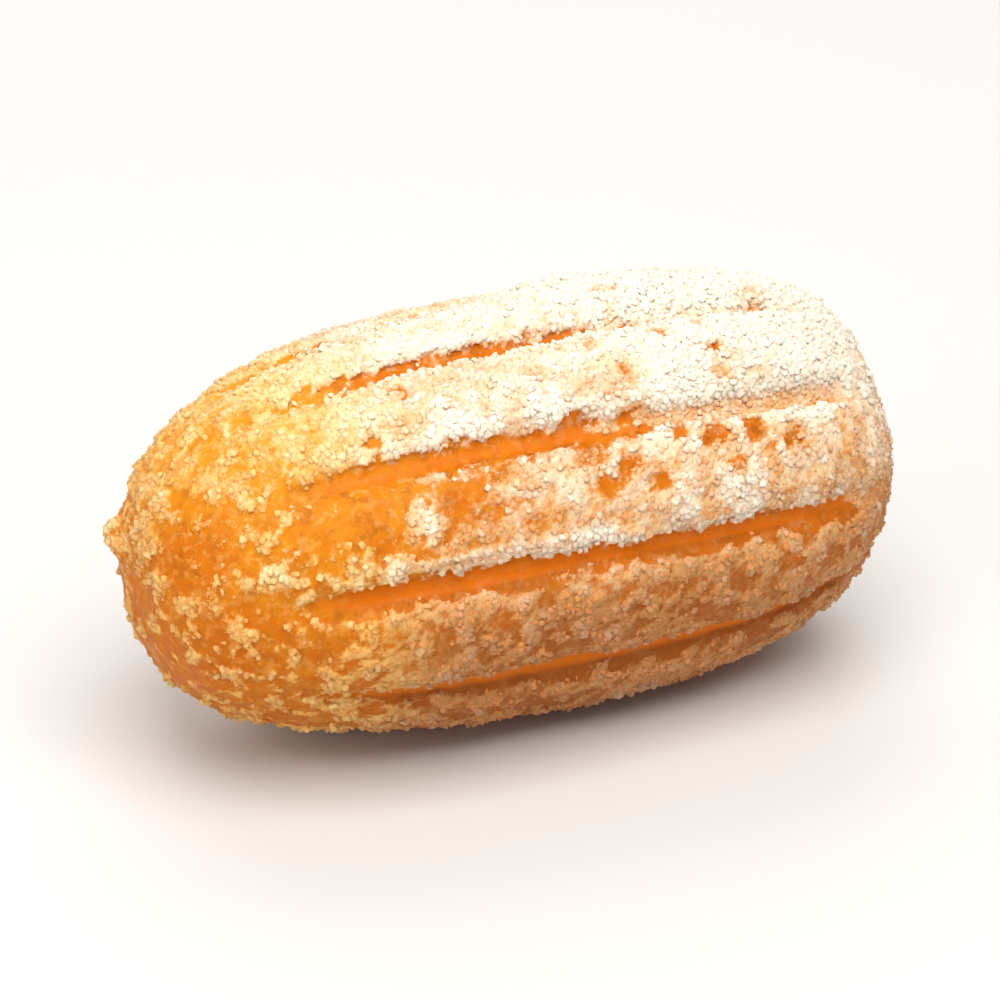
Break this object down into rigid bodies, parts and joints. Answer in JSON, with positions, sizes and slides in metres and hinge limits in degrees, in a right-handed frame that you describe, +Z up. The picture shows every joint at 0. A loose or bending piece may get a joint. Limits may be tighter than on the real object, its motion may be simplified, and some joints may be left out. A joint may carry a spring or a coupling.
{
  "type": "churro",
  "caption": "Small plump sugared churro: one fried bar of dough with rounded ends and lengthwise ridges, rolled in coarse sugar.",
  "frame": {"origin": "centre of the base, on the surface that the churro lies on", "axes": "+X along the bar towards its blunter end, -Y to its front side, +Z up"},
  "size_m": [0.0628, 0.0326, 0.0324],
  "materials": {
    "fried_dough": "golden brown fried dough, slightly oily",
    "sugar": "white granulated sugar"
  },
  "bodies": {
    "root": {"churro": "fried_dough"}
  },
  "joints": []
}
